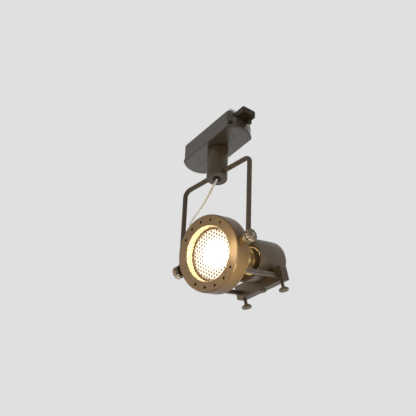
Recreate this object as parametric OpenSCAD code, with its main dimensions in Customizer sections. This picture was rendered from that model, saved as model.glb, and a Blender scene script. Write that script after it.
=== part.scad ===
// Track spotlight for a 50 mm reflector lamp: a long adapter hangs from a lighting track,
// a short stem swivels under it and carries a bent-rod yoke, and the yoke holds a broad ring
// with a sliding rear casing. Millimetres, +Z up. The origin is on the stem's axis, in the
// plane where the adapter's top face meets the underside of the track; +X runs along the track.

/* [Adapter] */
// Length of the adapter along the track
adapter_length = 89.4; // [80:0.1:110]
// Width of the adapter over its bottom lip
adapter_width = 33; // [24:0.5:34]
// Radius of the shallow arcs that end the adapter
adapter_end_r = 21; // [18:0.5:30]
// Height of the adapter below the track
adapter_height = 22; // [18:0.5:30]
// How far the bottom lip stands out from the walls
adapter_lip = 0.8; // [0.4:0.1:1.5]
// Wall thickness of the adapter's half shells
adapter_wall = 2; // [1.5:0.1:3]
// Height of the tongue that goes up into the track
tongue_height = 9.5; // [6:0.5:12]
// How far the locking lever reaches from its shaft
lever_reach = 22.5; // [19:0.5:26]

/* [Stem and yoke] */
// Diameter of the stem
stem_d = 21.5; // [16:0.5:26]
// Distance from the track down to the end of the stem
stem_drop = 60; // [45:1:90]
// Distance from the track down to the yoke's crossbar
crossbar_drop = 54.5; // [40:0.5:80]
// Diameter of the yoke's rod
rod_d = 5; // [4:0.5:7]
// Distance between the axes of the yoke's two arms
yoke_width = 91; // [88:1:110]
// Distance from the track down to the tilt axis
pivot_drop = 153.5; // [140:0.5:180]
// Turn of the stem about the vertical, degrees
swivel_angle = 9; // [-30:1:30]
// Tilt of the beam below the horizontal, degrees
tilt_angle = 20; // [0:1:60]

/* [Front ring] */
// Outer diameter of the front ring
ring_d = 77; // [70:1:84]
// Diameter of the ring's opening
opening_d = 54.4; // [52:0.2:58]
// Depth of the ring along the beam
ring_depth = 18; // [12:0.5:26]
// How far the ring's face stands in front of the tilt axis
ring_front = 9.3; // [5:0.1:14]
// Diameter of the small vent holes
vent_d = 2.9; // [1.5:0.1:3.5]
// Diameter of the circle that the vent holes lie on
vent_circle_d = 66.2; // [60:0.2:70]

/* [Rear casing] */
// Outer diameter of the rear casing
casing_d = 45.4; // [40:0.2:50]
// Distance from the tilt axis back to the casing's open rim
casing_front = 45.6; // [40:0.2:55]
// Length of the casing
casing_length = 42.4; // [30:0.2:50]
// Length of the cross bar under the casing
bar_length = 61.4; // [55:0.2:70]
// Distance from the lamp's axis to each side rail
rail_offset = 25; // [22:0.5:28]
// Diameter of the two knobs on the tilt axis
knob_d = 13; // [10:0.5:18]
// Diameter of the thumb screws' heads under the cross bar
thumb_d = 10; // [8:0.5:14]

/* [Cable] */
// Diameter of the cable
cable_d = 2.2; // [2:0.1:4]

/* [Hidden] */
$fn = 64;
smooth = 96;
coarse = 32;
eps = 0.02;
running_gap = 0.05;
clear_gap = 0.3;
through = 1;

// Adapter: half shells with arched ends, a base plate with the tongue, and the lock.
adapter_mid_x = -1.45;
adapter_arc_x = adapter_length / 2 - adapter_end_r;
lip_height = 2.4;
lip_chamfer = 0.8;
seam_half = 0.1;
floor_z = adapter_wall - adapter_height;
base_thickness = 2.5;
base_end_x = 16;
base_play = 0.1;
tongue_length = 32;
tongue_x = -40;
tongue_width = 10;
contact_length = 8;
lock_x = 30;
lever_half_width = 8;
lever_hub_r = 6;
lever_bottom = -7.8;
lever_slot_bottom = -8.2;
lever_slot_angles = [-52, 126];
lever_corner_trim = 0.6;
catch_size = [2.2, 4, 8];
catch_inset = [5.6, 6.3];
lock_shaft_d = 6;
lock_boss_d = 10;
lock_boss_top = -9;
lock_shaft_bottom = -13;
cam_size = [8, 22, 3];
cam_z = 4;
shell_screw_pos = [37.2, -15.5];
shell_boss_r = 4.7;
shell_screw_r = 1.5;
shell_head_r = 2.4;
shell_head_height = 1.8;
shell_recess_r = 2.7;
shell_recess_depth = 5.9;
shell_screw_end = 9.3;
contact_strip = 1.1;
contact_height = 5;
contact_z = 2.5;
contact_x = [5, 19];
contact_nub_r = 0.9;
earth_width = 3;
earth_strip = 0.8;
earth_nub_r = 1.2;
earth_inset = 4;
terminal_size = [18, 12, 9];
terminal_x = -40;
terminal_pitch = 9;
terminal_wire_d = 3;
terminal_screw_d = 3.5;
terminal_screw_height = 2.4;
terminal_screw_z = 6;
slot_width = 0.7;
slot_depth = 0.8;

// Stem: a tube with a closed top, hung from a hollow nipple.
stem_top = -adapter_height - 1;
stem_wall = 1.5;
stem_cap = 6;
nipple_d = 10;
nipple_bore_d = 7;
nipple_top = -13.5;
nut_flats = 14;
nut_height = 4;
washer_thickness = 0.8;
washer_r = 8.5;
end_disc_thickness = 2.5;
bush_d = 7.6;
bush_flange_d = 8.6;
bush_flange_height = 0.5;
bush_bore_d = cable_d + 0.5;
grub_d = 4;
grub_key_flats = 2.2;
grub_key_depth = 1.8;

// Yoke: one rod with round corners and an eye at the end of each arm.
bend_r = 7;
eye_d = 13;
eye_thickness = 3;
arm_p = yoke_width / 2;
eye_in = arm_p - 1.3;
eye_out = eye_in + eye_thickness;
stud_d = 4;
stud_in = 31;
stud_out = 52.8;
spacer_d = 8.6;
boss_d = 9.4;
boss_out = ring_d / 2 + 1.4;
knob_in = eye_out + clear_gap;
knob_thickness = 4.2;
knob_rise = 0.6;
knob_hub_r = 3.9;
knob_lobes = 10;

// Head, in its own directions: X along the tilt axis, Y up, Z forward along the beam.
ring_r = ring_d / 2;
opening_r = opening_d / 2;
ring_back = ring_front - ring_depth;
ring_wall = 1.8;
ring_round = 1.3;
opening_bevel = 0.5;
back_plate = 1.5;
ledge_r = 23.8;
ledge_front = -1.6;
ledge_thickness = 1.7;
vents_per_group = 5;
vent_pitch = 22.5;
lamp_r = 25;
lamp_rim_front = 1;
lamp_neck_r = 8.5;
lamp_neck_z = -37;
lamp_end_z = -47;
lamp_step = 4;
neck_r = 9.7;
rim_width = 1.2;
rim_height = 1.7;
rim_gap = 0.1;
glass_wall = 1.4;
pin_d = 2.4;
pin_pitch = 10;
pin_end_z = -52;
pin_root_z = -43;
retainer_r = opening_r - 0.15;
retainer_in_r = lamp_r - 0.4;
retainer_thickness = 0.7;
retainer_gap = 3;
capsule_d = 9;
capsule_top = -20;
capsule_seat = 2;

// Rear carriage: casing, lampholder and cross bar, clamped on two side rails.
casing_r = casing_d / 2;
casing_wall = 1.5;
casing_back = -casing_front - casing_length;
casing_round = 4;
holder_d = 25.6;
holder_front = lamp_end_z - clear_gap;
holder_back = -66;
collar_wall = 1.5;
collar_front = -55.6;
plate_front = -58;
plate_thickness = 1.5;
tab_width = 8;
tab_height = 3.2;
tab_reach = 4;
bar_front = -60.2;
bar_depth = 10.4;
bar_mid = bar_front - bar_depth / 2;
bar_bottom = -31;
bar_top = -16;
bar_edge = 0.8;
rail_size = [2.5, 4.6];
rail_y = -25;
rail_end = -70.3;
rail_gap = 0.08;
thumb_shank_d = 3.5;
thumb_head_top = -38.4;
thumb_head_height = 2.8;
thumb_lobes = 12;
centre_screw_d = 3;
centre_head_d = 5.6;
centre_head_height = 2;
centre_screw_end = -18.3;
thumb_hub_r = 3;
thumb_hub_height = 1.2;
grommet_pos = [-10, 4];
grommet_d = 6;
grommet_flange_d = 9;
grommet_flange_height = 1.2;
grommet_inner_length = 2.4;
nose_length = 5.8;
nose_root_d = 6.4;
nose_tip_d = 4.2;

// Cable route beside the yoke, before the swivel: straight out of the bush, a slack bow
// towards the left arm, back past the casing's left side, and round into its rear face.
cable_route = [
    [0, 0, -57.4], [0, 0, -59.2], [-0.4, 0, -61.4], [-2.8, 0, -64.8], [-6, 0, -68.8],
    [-11.6, 0, -76.6], [-17.4, 0, -83.2], [-24, 0, -89], [-31.2, 0, -94.4],
    [-37, 1, -100], [-39.6, 6, -106.4], [-39.5, 15, -113], [-38, 28, -118.5], [-36.5, 45, -122],
    [-35.5, 62, -122.5], [-35, 78, -119.5], [-33.8, 92, -115.2], [-30, 101.5, -112.1],
    [-22.5, 106, -110.6], [-14.5, 102.9, -111.7], [-10.6, 98.2, -113.5], [-10, 92, -115.7],
    [-10, 86, -117.9], [-10, 80, -120.1], [-10, 74.5, -122.1]
];
cable_steps = 2;
cable_sides = 8;
cable_reference = [0.6, -0.6, 0.5];

plastic = "#3b3835";
metal_dark = "#2f2926";
bronze = "#6d5a4b";
steel = "#9a958e";
brass = "#c79a45";
black = "#1c1a19";
cream = "#d9d2c0";
ceramic = "#4a443c";
glass = "#e8eef0";

// ---- placing ----

// The stem and yoke turn together about the vertical.
module on_stem() {
    rotate([0, 0, swivel_angle]) children();
}

// The head: X along the tilt axis, Y up across the beam, Z forward along the beam.
module on_head() {
    on_stem()
        translate([0, 0, -pivot_drop])
            rotate([tilt_angle + 90, 0, 0])
                children();
}

// Lays a shape's Z axis along the tilt axis, outwards on the given side (1 or -1).
module along_tilt_axis(side) {
    rotate([0, side * 90, 0]) children();
}

// The grommet's axis points out of the casing's rear face, along the beam's line.
module at_grommet() {
    translate([grommet_pos[0], grommet_pos[1], casing_back]) rotate([180, 0, 0]) children();
}

// ---- shared shapes ----

module tube_between(r_outer, r_inner, z_low, z_high) {
    translate([0, 0, z_low])
        difference() {
            cylinder(r = r_outer, h = z_high - z_low);
            translate([0, 0, -through]) cylinder(r = r_inner, h = z_high - z_low + 2 * through);
        }
}

module rod_between(r, z_low, z_high) {
    translate([0, 0, z_low]) cylinder(r = r, h = z_high - z_low);
}

// Trims a long bar to the adapter's arched ends. The arcs have radius r at the height z_low,
// and widen by the slope as they rise.
module trim_ends(r, slope, z_low, z_high) {
    reach = 2 * adapter_length;
    height = z_high - z_low;
    difference() {
        children();
        for (side = [0, 1])
            translate([adapter_mid_x, 0, z_low])
                mirror([side, 0, 0])
                    translate([adapter_arc_x, 0, 0])
                        difference() {
                            translate([0, -reach / 2, -through])
                                cube([reach, reach, height + 2 * through]);
                            translate([0, 0, -2 * through])
                                cylinder(r1 = r - slope * 2 * through,
                                         r2 = r + slope * (height + 2 * through),
                                         h = height + 4 * through, $fn = smooth);
                        }
    }
}

// A bar with the adapter's outline, its sides and arched ends moved inwards by the inset.
module adapter_bar(inset, z_low, z_high) {
    half = adapter_width / 2 - inset;
    trim_ends(adapter_end_r - inset, 0, z_low, z_high)
        translate([-adapter_length, -half, z_low])
            cube([2 * adapter_length, 2 * half, z_high - z_low]);
}

// The lower edge of the lip is bevelled all the way round.
module bevelled_lip() {
    low = -adapter_height;
    half = adapter_width / 2;
    adapter_bar(0, low + lip_chamfer, low + lip_height);
    trim_ends(adapter_end_r - lip_chamfer, 1, low, low + lip_chamfer)
        translate([-adapter_length, 0, low])
            rotate([90, 0, 90])
                linear_extrude(2 * adapter_length)
                    polygon([
                        [-half + lip_chamfer, 0], [half - lip_chamfer, 0],
                        [half, lip_chamfer], [-half, lip_chamfer]
                    ]);
}

// A disc with shallow scallops round its rim, from z_low to z_high.
module scalloped_disc(d, lobes, z_low, z_high) {
    scallop_r = 0.13 * d;
    scallop_centre = 0.58 * d;
    difference() {
        rod_between(d / 2, z_low, z_high);
        for (i = [0 : lobes - 1])
            rotate([0, 0, i * 360 / lobes])
                translate([scallop_centre, 0, 0])
                    rod_between(scallop_r, z_low - through, z_high + through);
    }
}

// ---- adapter ----

module adapter_base() {
    color(plastic) {
        intersection() {
            adapter_bar(adapter_lip + adapter_wall + base_play, -base_thickness, 0);
            translate([base_end_x - adapter_length, -adapter_width, -adapter_height])
                cube([adapter_length, 2 * adapter_width, 2 * adapter_height]);
        }
        translate([tongue_x, -tongue_width / 2, -eps])
            cube([tongue_length, tongue_width, tongue_height + eps]);
    }
}

// The whole housing before it is split along its centre line.
module adapter_housing() {
    screw_hole_r = shell_screw_r + running_gap;
    difference() {
        union() {
            difference() {
                union() {
                    adapter_bar(adapter_lip, -adapter_height + lip_height - eps, 0);
                    bevelled_lip();
                }
                adapter_bar(adapter_lip + adapter_wall, floor_z, through);
            }
            translate([lock_x, 0, 0]) rod_between(lock_boss_d / 2, floor_z - eps, lock_boss_top);
            intersection() {
                translate([shell_screw_pos[0], 0, shell_screw_pos[1]])
                    rotate([90, 0, 0]) cylinder(r = shell_boss_r, h = adapter_width, center = true);
                adapter_bar(adapter_lip + adapter_wall / 2, floor_z - eps, lever_slot_bottom);
            }
        }
        // swivel hole, shaft bearing and the long screw
        rod_between(nipple_d / 2 + running_gap, -adapter_height - through, floor_z + through);
        translate([lock_x, 0, 0])
            rod_between(lock_shaft_d / 2 + running_gap, lock_shaft_bottom - clear_gap,
                        lock_boss_top + through);
        translate([shell_screw_pos[0], 0, shell_screw_pos[1]])
            rotate([-90, 0, 0]) {
                rod_between(shell_recess_r, -adapter_width / 2,
                            shell_recess_depth - adapter_width / 2);
                rod_between(screw_hole_r, -adapter_width / 2, shell_screw_end + clear_gap);
            }
        // the lever's way round the end
        lever_window();
    }
}

// The arc of the end wall that the lever turns through.
module lever_window() {
    reach = 2 * adapter_width;
    low = lever_slot_angles[0];
    high = lever_slot_angles[1];
    translate([lock_x, 0, lever_slot_bottom])
        linear_extrude(adapter_height)
            polygon([
                [0, 0], reach * [cos(low), sin(low)], reach * [cos(0), sin(0)],
                reach * [cos(45), sin(45)], reach * [cos(90), sin(90)],
                reach * [cos(high), sin(high)]
            ]);
}

// One half of the housing: side is -1 for the near half and 1 for the far half.
module housing_half(side) {
    reach = adapter_length;
    intersection() {
        adapter_housing();
        translate([-reach, side > 0 ? seam_half : -seam_half - reach, -2 * adapter_height])
            cube([2 * reach, reach, 4 * adapter_height]);
    }
}

module adapter_shell_near() {
    color(plastic) housing_half(-1);
}

module adapter_shell_far() {
    color(plastic) housing_half(1);
}

module shell_screw() {
    seat_y = shell_recess_depth - adapter_width / 2 - eps;
    head_y = seat_y - shell_head_height;
    cross_length = 1.2 * shell_head_r;
    color(black)
        translate([shell_screw_pos[0], 0, shell_screw_pos[1]])
            rotate([-90, 0, 0])
                difference() {
                    union() {
                        rod_between(shell_head_r, head_y, seat_y);
                        rod_between(shell_screw_r, seat_y - eps, shell_screw_end);
                    }
                    for (turn = [0, 90])
                        rotate([0, 0, turn])
                            translate([0, 0, head_y])
                                cube([cross_length, slot_width, 2 * slot_depth], center = true);
                }
}

// A spring contact on each side of the tongue.
module side_contacts() {
    half = contact_strip / 2;
    nub_inset = 1.2;
    color(brass)
        for (i = [0, 1])
            mirror([0, 1 - i, 0])
                translate([tongue_x + contact_x[i], tongue_width / 2, contact_z]) {
                    cube([contact_length, contact_strip, contact_height]);
                    translate([contact_length / 2, 2 * half, nub_inset])
                        cylinder(r = contact_nub_r, h = contact_height - 2 * nub_inset,
                                 $fn = coarse);
                }
}

module earth_contact() {
    length = tongue_length - 2 * earth_inset;
    color(brass)
        translate([tongue_x + earth_inset, -earth_width / 2, tongue_height]) {
            cube([length, earth_width, earth_strip]);
            translate([length / 2, earth_width / 2, earth_nub_r])
                rotate([90, 0, 0])
                    cylinder(r = earth_nub_r, h = earth_width, center = true, $fn = coarse);
        }
}

// Places a shape over each terminal's centre, on the adapter's floor.
module at_terminals() {
    for (i = [0, 1])
        translate([terminal_x + (i + 0.5) * terminal_pitch, 0, floor_z]) children();
}

module terminal_block() {
    wire_z = 4;
    color(cream)
        difference() {
            translate([terminal_x, -terminal_size[1] / 2, floor_z]) cube(terminal_size);
            at_terminals() {
                translate([0, 0, wire_z])
                    rotate([90, 0, 0])
                        cylinder(d = terminal_wire_d, h = 2 * terminal_size[1], center = true,
                                 $fn = coarse);
                translate([0, 0, terminal_screw_z])
                    cylinder(d = terminal_screw_d + 2 * running_gap, h = terminal_size[2],
                             $fn = coarse);
            }
        }
}

module terminal_screws() {
    color(brass)
        at_terminals()
            translate([0, 0, terminal_screw_z])
                difference() {
                    cylinder(d = terminal_screw_d, h = terminal_screw_height, $fn = coarse);
                    translate([0, 0, terminal_screw_height])
                        cube([2 * terminal_screw_d, slot_width, 2 * slot_depth], center = true);
                }
}

// The lock's shaft with its cam, which turns across the track's slot to grip it.
module lock_cam() {
    color(steel)
        translate([lock_x, 0, 0]) {
            rod_between(lock_shaft_d / 2, lock_shaft_bottom, cam_z + eps);
            translate([0, 0, cam_z])
                intersection() {
                    translate([-cam_size[0] / 2, -cam_size[1] / 2, 0]) cube(cam_size);
                    cylinder(d = cam_size[1], h = 3 * cam_size[2], center = true);
                }
        }
}

// The lever that turns the lock: a paddle that reaches out past the adapter's end.
module lock_lever() {
    tip_r = norm([lever_reach, lever_half_width]) - lever_corner_trim;
    top = -clear_gap;
    catch_pos = [lever_reach - catch_inset[0], lever_half_width - catch_inset[1],
                 lever_bottom - catch_size[2]];
    color(plastic)
        translate([lock_x, 0, 0])
            difference() {
                union() {
                    rod_between(lever_hub_r, lever_bottom, top);
                    intersection() {
                        translate([0, -lever_half_width, lever_bottom])
                            cube([lever_reach, 2 * lever_half_width, top - lever_bottom]);
                        rod_between(tip_r, lever_bottom - through, top + through);
                    }
                    // finger catch under the tip
                    translate(catch_pos) cube(catch_size + [0, 0, eps]);
                }
                rod_between(lock_shaft_d / 2 + eps, lever_bottom - through, top + through);
            }
}

// ---- stem ----

module swivel_washer() {
    color(steel)
        on_stem() tube_between(washer_r, nipple_d / 2 + running_gap, floor_z + clear_gap,
                               floor_z + clear_gap + washer_thickness);
}

module swivel_nut() {
    low = floor_z + clear_gap + washer_thickness;
    color(brass)
        on_stem()
            difference() {
                translate([0, 0, low]) cylinder(d = nut_flats / cos(30), h = nut_height, $fn = 6);
                rod_between(nipple_d / 2 + eps, low - through, low + nut_height + through);
            }
}

module stem_nipple() {
    color(steel)
        on_stem() tube_between(nipple_d / 2, nipple_bore_d / 2, stem_top - stem_cap, nipple_top);
}

module stem_washer() {
    color(black)
        on_stem() tube_between(washer_r, nipple_d / 2 + running_gap, stem_top,
                               -adapter_height - clear_gap);
}

module stem_tube() {
    inner_r = stem_d / 2 - stem_wall;
    color(metal_dark)
        on_stem()
            difference() {
                rod_between(stem_d / 2, -stem_drop, stem_top);
                rod_between(inner_r, -stem_drop - through, stem_top - stem_cap);
                rod_between(nipple_d / 2 + eps, -stem_drop, stem_top + through);
                translate([0, 0, -crossbar_drop])
                    rotate([0, 90, 0])
                        cylinder(d = rod_d + 2 * eps, h = 2 * stem_d, center = true);
                translate([0, 0, -crossbar_drop])
                    rotate([-90, 0, 0]) cylinder(d = grub_d + 2 * eps, h = stem_d);
            }
}

// The screw that fixes the crossbar, in the back of the stem.
module stem_grub_screw() {
    grub_end = stem_d / 2 - clear_gap;
    color(black)
        on_stem()
            translate([0, 0, -crossbar_drop])
                rotate([-90, 0, 0])
                    difference() {
                        rod_between(grub_d / 2, rod_d / 2, grub_end);
                        translate([0, 0, grub_end - grub_key_depth])
                            cylinder(d = grub_key_flats / cos(30), h = stem_d, $fn = 6);
                    }
}

module stem_end_disc() {
    color(metal_dark)
        on_stem() tube_between(stem_d / 2 - stem_wall - eps, bush_d / 2 + eps, -stem_drop,
                               -stem_drop + end_disc_thickness);
}

module cable_bush() {
    color(black)
        on_stem() {
            tube_between(bush_d / 2, bush_bore_d / 2, -stem_drop, -stem_drop + end_disc_thickness);
            tube_between(bush_flange_d / 2, bush_bore_d / 2, -stem_drop - bush_flange_height,
                         -stem_drop);
        }
}

// ---- yoke ----

// A quarter bend in the plane of the yoke, its centre at the origin.
module rod_bend() {
    rotate([90, 0, 0])
        rotate_extrude(angle = 90)
            translate([bend_r, 0]) circle(d = rod_d, $fn = coarse);
}

module yoke_rod() {
    bend_x = arm_p - bend_r;
    bend_z = -crossbar_drop - bend_r;
    color(metal_dark)
        on_stem() {
            difference() {
                union() {
                    translate([0, 0, -crossbar_drop])
                        rotate([0, 90, 0])
                            cylinder(d = rod_d, h = 2 * bend_x, center = true);
                    for (side = [0, 1])
                        mirror([side, 0, 0]) {
                            translate([bend_x, 0, bend_z]) rod_bend();
                            translate([arm_p, 0, 0]) rod_between(rod_d / 2, -pivot_drop, bend_z);
                            translate([eye_in, 0, -pivot_drop])
                                along_tilt_axis(1) cylinder(d = eye_d, h = eye_thickness);
                        }
                }
                for (side = [-1, 1])
                    translate([side * eye_out, 0, -pivot_drop]) {
                        along_tilt_axis(side) cylinder(d = 2 * eye_d, h = eye_thickness);
                        along_tilt_axis(side)
                            cylinder(d = stud_d + 2 * running_gap, h = 4 * eye_thickness,
                                     center = true);
                    }
                for (side = [-1, 1])
                    translate([side * eye_in, 0, -pivot_drop])
                        along_tilt_axis(-side) cylinder(d = eye_d, h = eye_thickness);
            }
        }
}

// ---- cable ----

// A point of the smooth curve through the route, between stations i and i + 1.
function route_at(i) = cable_route[min(max(i, 0), len(cable_route) - 1)];
function curve_point(i, t) =
    let (a = route_at(i - 1), b = route_at(i), c = route_at(i + 1), d = route_at(i + 2))
    0.5 * (2 * b + (c - a) * t + (2 * a - 5 * b + 4 * c - d) * t * t
           + (3 * b - a - 3 * c + d) * t * t * t);
cable_line = [
    for (i = [0 : len(cable_route) - 2], s = [0 : cable_steps - 1]) curve_point(i, s / cable_steps),
    cable_route[len(cable_route) - 1]
];
function unit(v) = v / norm(v);
function heading(i) =
    unit(cable_line[min(i + 1, len(cable_line) - 1)] - cable_line[max(i - 1, 0)]);
function ring_points(i) =
    let (t = heading(i), u = unit(cross(t, cable_reference)), v = cross(t, u))
    [for (k = [0 : cable_sides - 1])
        let (angle = 360 * k / cable_sides)
        cable_line[i] + cable_d / 2 * (u * cos(angle) + v * sin(angle))];

module cable() {
    rings = len(cable_line);
    n = cable_sides;
    points = [for (i = [0 : rings - 1]) each ring_points(i)];
    sides = [
        for (i = [0 : rings - 2], k = [0 : n - 1])
            [i * n + k, (i + 1) * n + k, (i + 1) * n + (k + 1) % n, i * n + (k + 1) % n]
    ];
    first_end = [for (k = [0 : n - 1]) k];
    last_end = [for (k = [n - 1 : -1 : 0]) (rings - 1) * n + k];
    color(cream) on_stem() polyhedron(points, concat(sides, [first_end, last_end]));
}

// ---- tilt axis ----

module pivot_studs() {
    color(steel)
        on_head()
            for (side = [-1, 1])
                along_tilt_axis(side) rod_between(stud_d / 2, stud_in, stud_out);
}

module pivot_spacers() {
    color(bronze)
        on_head()
            for (side = [-1, 1])
                along_tilt_axis(side)
                    tube_between(spacer_d / 2, stud_d / 2 + eps, boss_out, eye_in - clear_gap);
}

module thumb_nut() {
    outer = knob_in + knob_thickness;
    difference() {
        union() {
            scalloped_disc(knob_d, knob_lobes, knob_in, outer);
            rod_between(knob_hub_r, outer - eps, outer + knob_rise);
        }
        rod_between(stud_d / 2 + running_gap, knob_in - through, outer + knob_rise + through);
    }
}

module right_knob() {
    color(metal_dark) on_head() along_tilt_axis(1) thumb_nut();
}

module left_knob() {
    color(metal_dark) on_head() along_tilt_axis(-1) thumb_nut();
}

// ---- front ring and lamp ----

// The vent holes lie in two groups, at the top and at the bottom of the ring.
module vent_holes(z_low, z_high) {
    half_group = (vents_per_group - 1) / 2;
    for (group = [90, -90], i = [-half_group : half_group])
        rotate([0, 0, group + i * vent_pitch])
            translate([vent_circle_d / 2, 0, 0])
                rod_between(vent_d / 2, z_low, z_high);
}

// Half section of the ring: a channel that is open at the back, with a ledge for the lamp.
module ring_section() {
    back = ring_back + back_plate;
    ledge_back = ledge_front - ledge_thickness;
    inner_wall = opening_r + ring_wall;
    outer_wall = ring_r - ring_wall;
    front_wall = ring_front - ring_wall;
    corner = [for (angle = [0 : 15 : 90])
        [ring_r - ring_round + ring_round * cos(angle),
         ring_front - ring_round + ring_round * sin(angle)]];
    polygon(concat(
        [[outer_wall, back], [ring_r, back]],
        corner,
        [[opening_r + opening_bevel, ring_front], [opening_r, ring_front - opening_bevel],
         [opening_r, ledge_front], [ledge_r, ledge_front], [ledge_r, ledge_back],
         [opening_r, ledge_back], [opening_r, back], [inner_wall, back],
         [inner_wall, front_wall], [outer_wall, front_wall]]
    ));
}

module front_ring() {
    color(bronze)
        on_head()
            difference() {
                union() {
                    rotate_extrude($fn = 2 * $fn) ring_section();
                    for (side = [-1, 1])
                        along_tilt_axis(side)
                            rod_between(boss_d / 2, opening_r + ring_wall / 2, boss_out);
                }
                vent_holes(0, ring_front + through);
                for (side = [-1, 1])
                    along_tilt_axis(side)
                        rod_between(stud_d / 2 + eps, stud_in - eps, boss_out + through);
            }
}

module ring_back_plate() {
    chamfer = 0.6;
    back = ring_back;
    front = ring_back + back_plate;
    color(bronze)
        on_head()
            difference() {
                rotate_extrude($fn = 2 * $fn)
                    polygon([
                        [opening_r, front], [opening_r, back], [ring_r - chamfer, back],
                        [ring_r, back + chamfer], [ring_r, front]
                    ]);
                vent_holes(back - through, front + through);
            }
}

// A split spring ring that holds the lamp against the ledge.
module retaining_ring() {
    low = lamp_rim_front + rim_gap;
    color(black)
        on_head()
            difference() {
                tube_between(retainer_r, retainer_in_r, low, low + retainer_thickness);
                translate([0, -retainer_r, low])
                    cube([retainer_gap, lamp_r / 2, lamp_r / 2], center = true);
            }
}

module lamp_lens() {
    steps = 6;
    dome_rise = 0.9;
    flat_r = lamp_r - rim_width - rim_gap;
    low = lamp_rim_front - rim_height + rim_gap;
    color(glass)
        on_head()
            rotate_extrude($fn = smooth)
                polygon(concat(
                    [[0, low], [flat_r, low]],
                    [for (i = [0 : steps])
                        let (r = flat_r * (1 - i / steps))
                        [r, lamp_rim_front + dome_rise * (1 - pow(r / flat_r, 2))]]
                ));
}

// Radius of the reflector's outside at a distance z along the beam.
function reflector_r(z) =
    neck_r + (ledge_r - 2 * running_gap - rim_width / 3 - neck_r)
    * sqrt(max(0, (z - lamp_neck_z) / (ledge_front - lamp_neck_z)));

module lamp_reflector() {
    steps = 12;
    rim_back = ledge_front + running_gap;
    stations = [for (i = [0 : steps]) lamp_neck_z + (rim_back - lamp_neck_z) * pow(i / steps, 2)];
    outside = [for (z = stations) [reflector_r(z), z]];
    inside = [for (i = [steps : -1 : 0]) [reflector_r(stations[i]) - glass_wall, stations[i]]];
    color(glass)
        on_head()
            rotate_extrude($fn = smooth)
                polygon(concat(
                    outside,
                    [[lamp_r, rim_back], [lamp_r, lamp_rim_front],
                     [lamp_r - rim_width, lamp_rim_front],
                     [lamp_r - rim_width, lamp_rim_front - rim_height]],
                    inside
                ));
}

module lamp_capsule() {
    color(glass)
        on_head()
            union() {
                rod_between(capsule_d / 2, lamp_neck_z - capsule_seat, capsule_top);
                translate([0, 0, capsule_top]) sphere(d = capsule_d);
            }
}

module lamp_base() {
    step_z = lamp_neck_z - lamp_step;
    color(cream)
        on_head()
            difference() {
                union() {
                    rod_between(neck_r, step_z, lamp_neck_z);
                    rod_between(lamp_neck_r, lamp_end_z, step_z);
                }
                rod_between(capsule_d / 2 + eps, lamp_neck_z - capsule_seat,
                            lamp_neck_z + through);
                for (side = [-1, 1])
                    translate([side * pin_pitch / 2, 0, 0])
                        rod_between(pin_d / 2 + eps, lamp_end_z - through, pin_root_z);
            }
}

module lamp_pins() {
    color(steel)
        on_head()
            for (side = [-1, 1])
                translate([side * pin_pitch / 2, 0, 0])
                    rod_between(pin_d / 2, pin_end_z, pin_root_z);
}

// The two rails run back from the ring; the cross bar slides on them.
module side_rails() {
    color(steel)
        on_head()
            for (side = [-1, 1])
                translate([side * rail_offset - rail_size[0] / 2, rail_y - rail_size[1] / 2, rail_end])
                    cube([rail_size[0], rail_size[1], ring_back - rail_end]);
}

// ---- rear carriage ----

module cross_bar() {
    half = bar_length / 2;
    slot = [rail_size[0] + 2 * rail_gap, rail_size[1] + 2 * rail_gap, 2 * bar_depth];
    color(bronze)
        on_head()
            difference() {
                translate([0, 0, bar_front - bar_depth])
                    linear_extrude(bar_depth)
                        polygon([
                            [-half, bar_bottom + bar_edge], [-half + bar_edge, bar_bottom],
                            [half - bar_edge, bar_bottom], [half, bar_bottom + bar_edge],
                            [half, bar_top - bar_edge], [half - bar_edge, bar_top],
                            [-half + bar_edge, bar_top], [-half, bar_top - bar_edge]
                        ]);
                rod_between(casing_r + eps, casing_back, -casing_front);
                for (side = [-1, 1]) {
                    translate([side * rail_offset, rail_y, bar_mid]) cube(slot, center = true);
                    translate([side * rail_offset, 0, bar_mid])
                        rotate([-90, 0, 0])
                            rod_between(thumb_shank_d / 2 + running_gap, bar_bottom - through,
                                        rail_y);
                }
                translate([0, 0, bar_mid])
                    rotate([-90, 0, 0])
                        rod_between(centre_screw_d / 2 + eps, bar_bottom - through, 0);
            }
}

module casing_section() {
    back = casing_back;
    front = -casing_front;
    inner_r = casing_r - casing_wall;
    inner_round = casing_round - casing_wall;
    outer_corner = [for (angle = [0 : 15 : 90])
        [casing_r - casing_round + casing_round * cos(angle),
         back + casing_round - casing_round * sin(angle)]];
    inner_corner = [for (angle = [90 : -15 : 0])
        [inner_r - inner_round + inner_round * cos(angle),
         back + casing_wall + inner_round - inner_round * sin(angle)]];
    polygon(concat(
        [[inner_r, front], [casing_r, front]],
        outer_corner,
        [[0, back], [0, back + casing_wall]],
        inner_corner
    ));
}

module rear_casing() {
    color(bronze)
        on_head()
            difference() {
                rotate_extrude($fn = smooth) casing_section();
                at_grommet()
                    cylinder(d = grommet_d + 2 * eps, h = 4 * casing_wall, center = true);
                translate([0, 0, bar_mid])
                    rotate([-90, 0, 0])
                        rod_between(centre_screw_d / 2 + eps, -casing_r - through,
                                    -casing_r + 2 * casing_wall);
            }
}

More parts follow.
